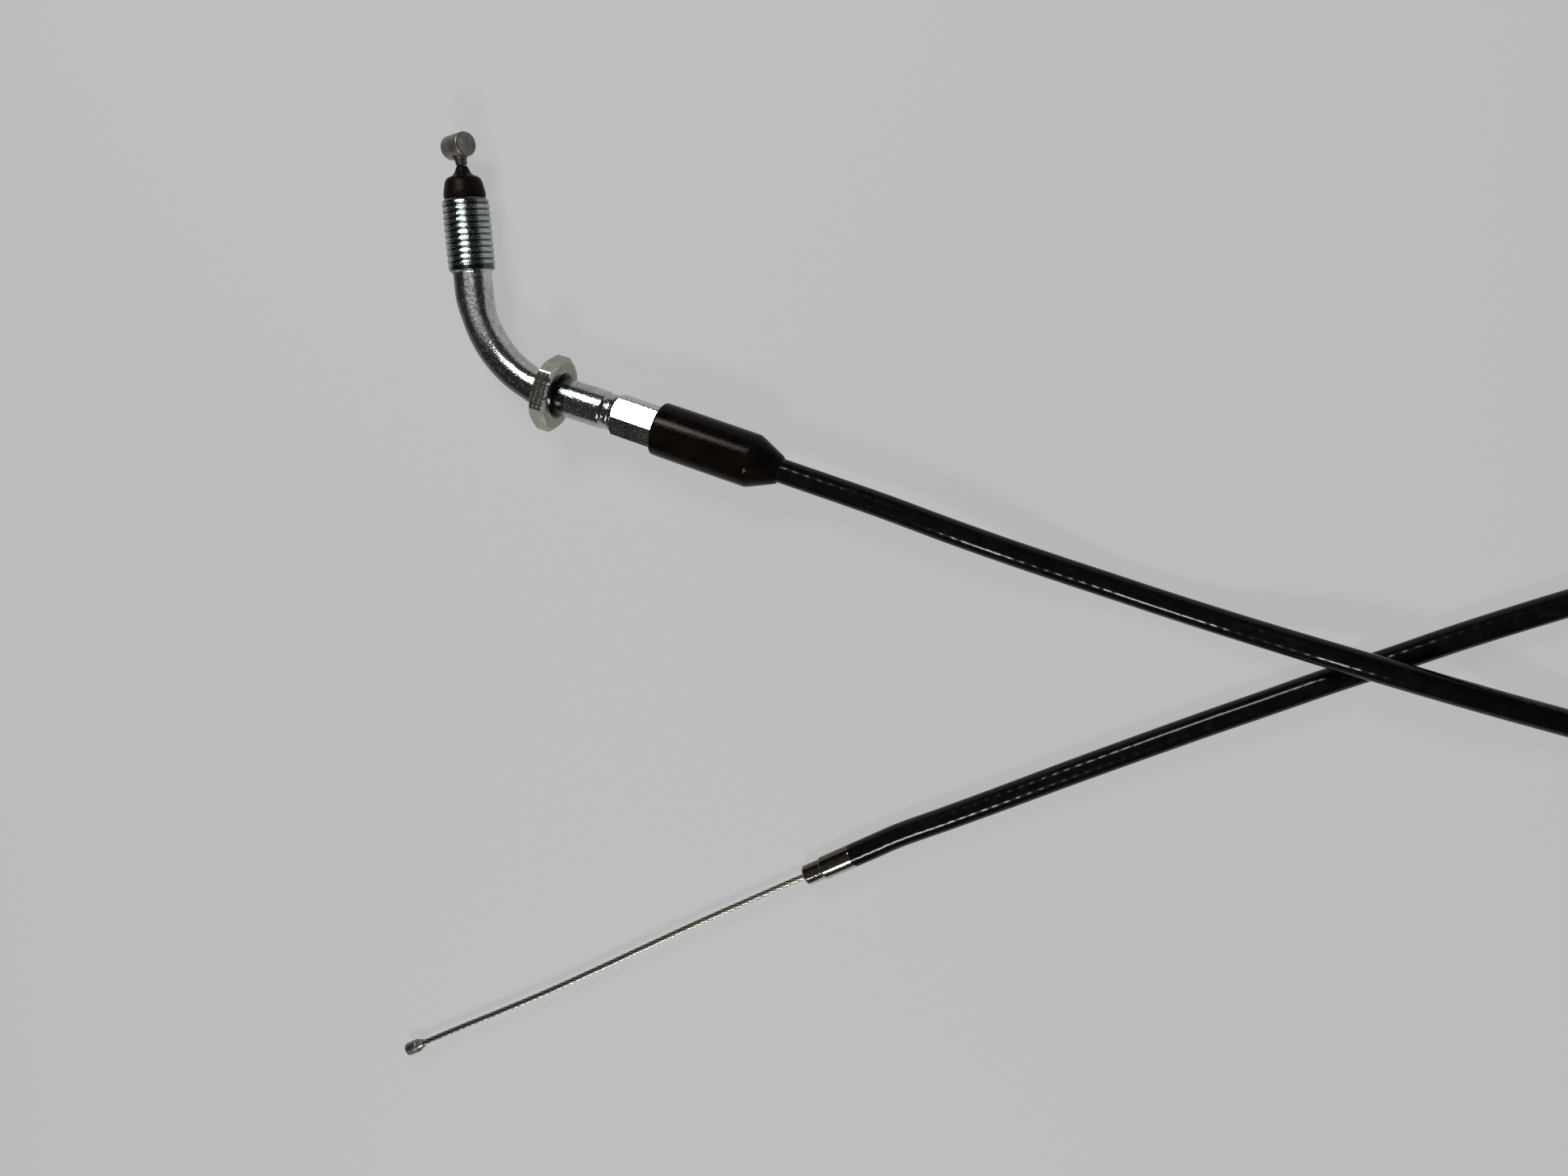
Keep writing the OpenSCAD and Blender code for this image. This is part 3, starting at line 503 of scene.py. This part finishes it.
# ---- Pieces on their bodies ----------------------------------------------------------------------
for piece, body, finish, *nodes in (
        (casing, "casing", "casing_cover", "casing_run_grip", "casing_coil", "casing_run_carb"),
        (spigot, "casing", "casing_cover", "casing_end_carb"),
        (straps[0], "casing", "strap", "coil_straps"), (straps[1], "casing", "strap"),
        (ferrule, "casing", "ferrule_plate", "carb_ferrule"), (bolt, "casing", "zinc_plate", "adjuster_bolt"),
        (boot, "boot", "black_rubber", "rubber_boot"),
        (jam_nut, "adjuster_lock_nut", "zinc_plate", "adjuster_lock_nut"),
        (sleeve, "adjuster_sleeve", "zinc_plate", "adjuster_sleeve"),
        (elbow, "elbow", "zinc_plate", "elbow_tube"), (seal, "elbow", "black_rubber", "dust_seal"),
        (lock_nut, "lock_nut", "nickel_plate", "lock_nut"),
        (barrel, "grip_wire", "die_cast", "barrel_nipple"), (barrel_neck, "grip_wire", "die_cast"),
        (grip_strands, "grip_wire", "wire_strand", "grip_wire"),
        (carb_strands, "carb_wire", "wire_strand", "carb_wire"),
        (stud, "carb_wire", "die_cast", "carb_nipple")):
    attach(piece, body)
    if nodes:
        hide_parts(*nodes)

round(casing_length * MM, 3)
[tuple(p * MM) for p in line]


# ---- Finishes ------------------------------------------------------------------------------------
class Field:
    """A number or a colour that changes over a surface, from one output of a node."""

    def __init__(self, graph, socket):
        self.graph, self.socket = graph, socket

    def math(self, operation, *values):
        """The result of a Math node on these values. The field itself is one only if it is given."""
        return self.graph.node("Math", {"operation": operation}, dict(enumerate(values)))

    def __add__(self, other): return self.math("ADD", self, other)
    def __radd__(self, other): return self.math("ADD", other, self)
    def __sub__(self, other): return self.math("SUBTRACT", self, other)
    def __rsub__(self, other): return self.math("SUBTRACT", other, self)
    def __mul__(self, other): return self.math("MULTIPLY", self, other)
    def __rmul__(self, other): return self.math("MULTIPLY", other, self)
    def __pow__(self, other): return self.math("POWER", self, other)
    def sin(self): return self.math("SINE", self)
    def min(self, other): return self.math("MINIMUM", self, other)
    def max(self, other): return self.math("MAXIMUM", self, other)

    def between(self, low, high):
        """0 below low, 1 above high and a soft step between them."""
        return self.graph.node("MapRange", {"interpolation_type": "SMOOTHSTEP"},
                               {"Value": self, "From Min": low, "From Max": high})


class Graph:
    """A tree of nodes."""

    def __init__(self, tree):
        self.tree = tree

    def node(self, kind, settings=None, inputs=None, out=0):
        """One output of a new node of this kind, after its settings and its sockets' values or links."""
        made = self.tree.nodes.new("ShaderNode" + kind)
        for key, value in (settings or {}).items():
            setattr(made, key, value)
        for key, value in (inputs or {}).items():
            self.feed(made.inputs[key], value)
        return Field(self, made.outputs[out])

    def feed(self, socket, value):
        if isinstance(value, Field):
            self.tree.links.new(value.socket, socket)
        elif isinstance(value, tuple) and len(value) == 3 and socket.type == "RGBA":
            socket.default_value = (*value, 1)
        else:
            socket.default_value = value


class Finish(Graph):
    """A material made of nodes. Its places are in millimetres."""

    def __init__(self, name):
        self.material = bpy.data.materials.new(name)
        self.material.use_nodes = True
        super().__init__(self.material.node_tree)
        self.shader = self.tree.nodes["Principled BSDF"]
        self.mm = self.scaled(self.node("TexCoord", out="Object"), 1 / MM)

    def scaled(self, place, by):
        by = by if isinstance(by, tuple) else (by, by, by)
        return self.node("VectorMath", {"operation": "MULTIPLY"}, {0: place, 1: by})

    def part(self, axis):
        return self.node("SeparateXYZ", inputs={0: self.mm}, out=axis)

    def noise(self, size, detail=3, rough=0.5, stretch=(1, 1, 1)):
        """Noise from 0 to 1 whose grains are about size millimetres."""
        place = self.scaled(self.mm, tuple(1 / size / s for s in stretch))
        return self.node("TexNoise", inputs={"Vector": place, "Scale": 1.0, "Detail": detail,
                                             "Roughness": rough})

    def cells(self, size):
        """Distance to the nearest of points that lie about size millimetres apart, as a share of size."""
        return self.node("TexVoronoi", inputs={"Vector": self.scaled(self.mm, 1 / size), "Scale": 1.0})

    def mix(self, factor, a, b):
        """The colour a, or b where the factor is 1. The sockets are the Mix node's own for colours."""
        return self.node("Mix", {"data_type": "RGBA"}, {0: factor, 6: a, 7: b}, out=2)

    def bump(self, height, depth, under=None):
        """A normal from a height of 0 to 1 that stands for depth millimetres."""
        inputs = {"Height": height, "Distance": depth * MM, "Strength": 1.0}
        if under:
            inputs["Normal"] = under
        return self.node("Bump", inputs=inputs)

    def set(self, **values):
        for key, value in values.items():
            self.feed(self.shader.inputs[key.replace("_", " ")], value)
        return self.material


def zinc_finish(name, dark, pale, tube=False):
    """Bright zinc plate over drawn steel: mottled, pebbled and pitted. On the tube the thread is darker all
    over, with painted shade in its grooves; beside the lock nut a dark blue band is painted shadow and
    reflection of the nut; the bend's outside is darker with painted shade, and a pale band is rubbed on the
    bend."""
    f = Finish(name)
    cloud, mottle, pebble = f.noise(3.5, 4), f.noise(0.8, 3, 0.6), f.noise(0.42, 3, 0.6)
    colour = f.mix(cloud.between(0.35, 0.7), dark, pale)
    colour = f.mix(mottle.between(0.42, 0.7) * 0.45, colour, tuple(c * 0.5 for c in dark))
    colour = f.mix(pebble.between(0.5, 0.72) * 0.5, colour, tuple(c * 1.2 for c in pale))
    rough = 0.09 + cloud * 0.05 + mottle * 0.07
    pits = f.noise(0.3, 2, 0.6).between(0.6, 0.7) * 0.45
    if tube:
        x, y, z = f.part(0), f.part(1), f.part(2)
        thread = y.between(-THREAD_LEN / 2, 0.4 - THREAD_LEN / 2)
        groove = 1 - ((x * x + z * z) ** 0.5).between(THREAD_ROOT_R + 0.07, THREAD_ROOT_R + 0.19)
        # The whole thread is darker, and painted shade darkens its grooves almost to black.
        colour = f.mix(thread * 0.4, colour, (0.22, 0.28, 0.24))
        colour = f.mix(thread * groove * 0.88, colour, (0.03, 0.05, 0.05))
        arm = (x - ARM_AT.x) * math.sin(bend) - (y - ARM_AT.y) * math.cos(bend)
        # Painted shadow and dark reflection of the lock nut on the tube beside it.
        nut_shadow = arm.between(-3, -2.4) * (1 - arm.between(4.2, 4.7))
        colour = f.mix(nut_shadow * 0.85, colour, (0.07, 0.10, 0.10))
        across, down = x - BEND_R, (y - BEND_START).min(0)
        off = (across * across + down * down) ** 0.5 - BEND_R
        curved = (1 - thread) * (1 - arm.between(-2, -1))
        # Painted shade: the outside of the bend is darkened.
        colour = f.mix(curved * off.between(1.0, 2.2) * 0.88, colour, (0.035, 0.045, 0.055))
        rubbed = curved * y.between(-26, -14) * off.between(-2.4, -1.5) * (1 - off.between(-0.7, 0.5))
        pits = pits.max(rubbed * (0.25 + pebble.between(0.4, 0.6) * 0.55))
        rough = rough + rubbed * 0.1
    relief = f.bump(pebble, 0.055, f.bump(mottle, 0.02))
    return f.set(Base_Color=colour, Metallic=1 - pits, Roughness=rough, Normal=relief)


MARK_WAVES = NUT_AF / 2 * math.pi / 0.62    # makes the angle across the nut into the marks' waves
NUT_TARNISH = 0.425


def nickel_finish(name):
    """Tarnished warm grey plate on the lock nut: crossing tool marks on its flats, most of them near the
    end towards the adjuster, where the nut's end face is darker, and painted shade in the bore."""
    f = Finish(name)
    x, y, z = f.part(0), f.part(1), f.part(2)
    reach = (y * y + z * z) ** 0.5
    flat = reach.between(6.7, 6.9)
    grain, cloud, fine = f.noise(0.7, 3, 0.6), f.noise(2.2, 3), f.noise(0.3, 2)
    across, warp = y.math("ARCTAN2", y, 0.5) * MARK_WAVES, grain * 3.5
    crossing = (across + x * 3 + warp).sin() * (across - x * 3 - warp).sin()
    worn = x.between(0.5, 1.7) * 0.7 + 0.3
    marks = crossing.between(0.12, 0.5) * f.noise(0.9, 2).between(0.3, 0.52) * flat * worn
    colour = f.mix(cloud.between(0.3, 0.7), (0.56, 0.55, 0.44), (0.76, 0.74, 0.61))
    # The end face towards the adjuster, and the flats' edge beside it, are darker.
    colour = f.mix(x.between(NUT_T / 2 - 0.2, NUT_T / 2 - 0.05) * 0.6, colour, (0.36, 0.35, 0.28))
    colour = f.mix(marks * 0.9, colour, (0.82, 0.80, 0.74))
    colour = f.mix(NUT_TARNISH, colour, (0.03, 0.03, 0.025))
    # Painted shade: the bore is darkened almost to black.
    colour = f.mix((1 - reach.between(4.7, 5.15)) * 0.93, colour, (0.025, 0.04, 0.04))
    relief = f.bump(fine, 0.006, f.bump(grain, 0.012))
    return f.set(Base_Color=colour, Metallic=1 - marks * 0.85, Roughness=0.17 + cloud * 0.08,
                 Normal=relief)


def cast_finish(name, shade):
    """Dull die-cast metal with drawn marks across it. A lower shade is darker."""
    f = Finish(name)
    brushed, cloud = f.noise(0.3, 3, 0.6, (1, 6, 1)), f.noise(1.4, 3)
    low, high, shine = (tuple(c * shade for c in colour) for colour in (
        (0.25, 0.23, 0.20), (0.42, 0.39, 0.35), (0.52, 0.49, 0.44)))
    colour = f.mix(cloud.between(0.3, 0.75), low, high)
    colour = f.mix(brushed.between(0.5, 0.8) * 0.5, colour, shine)
    return f.set(Base_Color=colour, Metallic=1.0, Roughness=0.36 + cloud * 0.16,
                 Normal=f.bump(brushed + cloud * 0.6, 0.03))


def rubber_finish(name, rough):
    """Moulded rubber, brown-black, with dust specks and faint scuffs along it."""
    f = Finish(name)
    cloud, scuff, fine = f.noise(4, 4), f.noise(0.7, 4, 0.65, (4, 1, 1)), f.noise(0.25, 2)
    speck = f.cells(1.7).between(0.07, 0.03)
    colour = f.mix(cloud.between(0.3, 0.7), (0.0030, 0.0022, 0.0016), (0.0058, 0.0042, 0.0030))
    colour = f.mix(speck * f.noise(2.1, 1).between(0.55, 0.6) * 0.7, colour, (0.16, 0.14, 0.13))
    relief = f.bump(scuff * 0.8 + fine * 0.9, 0.035)
    return f.set(Base_Color=colour, Roughness=rough + scuff * 0.07, Normal=relief,
                 Specular_IOR_Level=0.065, Specular_Tint=(1, 0.86, 0.82))


WINDING_PITCH = 2.5


def casing_finish(name):
    """Glossy black cover that shows the windings under it as faint ripples."""
    f = Finish(name)
    length = f.node("Attribute", {"attribute_name": "along"}, out="Fac")
    ripple = (length * (TURN / WINDING_PITCH)).sin() * 0.5 + 0.5
    lumps, fine = f.noise(2.3, 3, 0.6), f.noise(0.35, 3)
    colour = f.mix(lumps.between(0.4, 0.8), (0.0035, 0.0033, 0.0035), (0.008, 0.007, 0.006))
    relief = f.bump(ripple * 0.5 + lumps * 0.7 + fine * 0.06, 0.05)
    return f.set(Base_Color=colour, Roughness=0.1 + fine * 0.1, Normal=relief, Specular_IOR_Level=0.15)


def ferrule_finish(name):
    """Polished plate, a little yellowed, with faint turned lines and a painted dark brown reflection on one
    flank.
    """
    f = Finish(name)
    lines, cloud = f.noise(0.09, 2, 0.5, (1, 40, 40)), f.noise(1.1, 3)
    colour = f.mix(cloud.between(0.35, 0.7), (0.52, 0.49, 0.40), (0.68, 0.65, 0.56))
    # Painted reflection: one flank is darkened to brown.
    colour = f.mix((0 - f.part(1)).between(0.6, 1.7) * 0.9, colour, (0.07, 0.045, 0.025))
    return f.set(Base_Color=colour, Metallic=1.0, Roughness=0.07 + cloud * 0.07,
                 Normal=f.bump(lines + cloud, 0.008))


def wire_finish(name):
    """Drawn steel strands with painted shade between them."""
    f = Finish(name)
    strand_gap_shade = 1 - f.node("Attribute", {"attribute_name": "crown"}, out="Fac").between(-0.1, 0.7)
    grain = f.noise(0.1, 2, 0.5, (8, 1, 1))
    colour = f.mix(grain, (0.36, 0.34, 0.27), (0.56, 0.53, 0.45))
    # Painted shade in the hollows between the strands.
    colour = f.mix(strand_gap_shade * 0.95, colour, (0.03, 0.026, 0.018))
    return f.set(Base_Color=colour, Metallic=1.0, Roughness=0.2 + grain * 0.12, Normal=f.bump(grain, 0.01))


def liner_finish(name):
    """Cloudy white plastic liner."""
    f = Finish(name)
    cloud = f.noise(1.2, 3)
    colour = f.mix(cloud, (0.72, 0.71, 0.65), (0.84, 0.83, 0.78))
    return f.set(Base_Color=colour, Roughness=0.35 + cloud * 0.1, Normal=f.bump(cloud, 0.01))


def strap_finish(name):
    """Plain black plastic with a fine ribbed grain."""
    f = Finish(name)
    grain = f.noise(0.4, 3)
    rib = (f.part(2) * (TURN / 0.9)).sin() * 0.5 + 0.5
    colour = f.mix(grain, (0.012, 0.012, 0.013), (0.03, 0.03, 0.031))
    return f.set(Base_Color=colour, Roughness=0.4 + grain * 0.15,
                 Normal=f.bump(rib * 0.8 + grain * 0.3, 0.04))


def dress(finish, *things):
    """Gives each thing this finish alone."""
    for thing in things:
        thing.data.materials.clear()
        thing.data.materials.append(finish)


dress(zinc_finish("tube_zinc", (0.42, 0.46, 0.44), (0.62, 0.65, 0.62), tube=True), elbow)
dress(zinc_finish("zinc_plate", (0.42, 0.41, 0.36), (0.58, 0.57, 0.51)), sleeve, jam_nut, bolt)
dress(nickel_finish("nickel_plate"), lock_nut)
dress(cast_finish("die_cast", 0.78), barrel)
# Painted shade: the neck under the barrel is a darker copy of the die-cast finish.
dress(cast_finish("die_cast_painted_shade", 0.35), barrel_neck)
dress(cast_finish("die_cast_grey", 0.75), stud)
dress(rubber_finish("black_rubber", 0.07), boot)
dress(rubber_finish("matt_rubber", 0.34), seal)
dress(casing_finish("casing_cover"), casing, spigot)
dress(ferrule_finish("ferrule_plate"), ferrule)
dress(wire_finish("wire_strand"), grip_strands, carb_strands)
dress(strap_finish("strap"), *straps)
dress(liner_finish("liner"), *(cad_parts[end + "_liner"] for end in ("elbow", "bolt", "carb")))

# ---- Floor, background and lamps -----------------------------------------------------------------
PALE = 0.521          # the floor's and the background's colour
DARK_ROOM = 0.03      # the room's own light
SHADOW_LEFT = 0.15    # share of the floor's look that takes the shadows
FLOOR_HALF = 3000


def seen(graph):
    """1 for what the camera, a glossy surface or glass shows of the surroundings, 0 for their light."""
    camera_ray, glossy, through = (graph.node("LightPath", out="Is " + kind + " Ray")
                                   for kind in ("Camera", "Glossy", "Transmission"))
    return camera_ray.max(glossy).max(through)


floor = new_piece("floor", [(x * FLOOR_HALF, y * FLOOR_HALF, -REST_DROP)
                            for x, y in ((-1, -1), (1, -1), (1, 1), (-1, 1))], [(0, 1, 2, 3)])
surface = Finish("floor")
surface.set(Base_Color=(PALE, PALE, PALE), Roughness=1.0, Specular_IOR_Level=0.0)
lit = Field(surface, surface.shader.outputs[0])
glow = surface.node("Emission", inputs={"Color": (PALE, PALE, PALE), "Strength": 1.0})
shown = surface.node("MixShader", inputs={0: seen(surface) * (1 - SHADOW_LEFT), 1: lit, 2: glow})
surface.feed(surface.tree.nodes["Material Output"].inputs["Surface"], shown)
dress(surface.material, floor)

world = bpy.data.worlds.new("studio")
bpy.context.scene.world = world
world.use_nodes = True
sky = Graph(world.node_tree)
background = world.node_tree.nodes["Background"].inputs
sky.feed(background["Color"], (1, 1, 1))
sky.feed(background["Strength"], sky.node("LightPath", out="Is Camera Ray") * (PALE - DARK_ROOM) + DARK_ROOM)


def lamp(name, at, size, power):
    """A soft lamp aimed at the point that the camera looks at, and placed in the upright frame there."""
    light = bpy.data.lights.new(name, "AREA")
    light.shape = "RECTANGLE"
    light.size, light.size_y = size[0] * MM, size[1] * MM
    light.energy = power
    thing = bpy.data.objects.new(name, light)
    bpy.context.scene.collection.objects.link(thing)
    start = UPRIGHT @ (Vector(at) * MM)
    aim = (UPRIGHT.translation - start).to_track_quat("-Z", "Y")
    thing.matrix_world = Matrix.Translation(start) @ aim.to_matrix().to_4x4()


lamp("lamp_near", (-8, -330, 370), (110, 70), 1.5)
lamp("lamp_far", (-105, 300, 294), (150, 90), 1.1)

scene = bpy.context.scene
scene.view_settings.view_transform = "Standard"
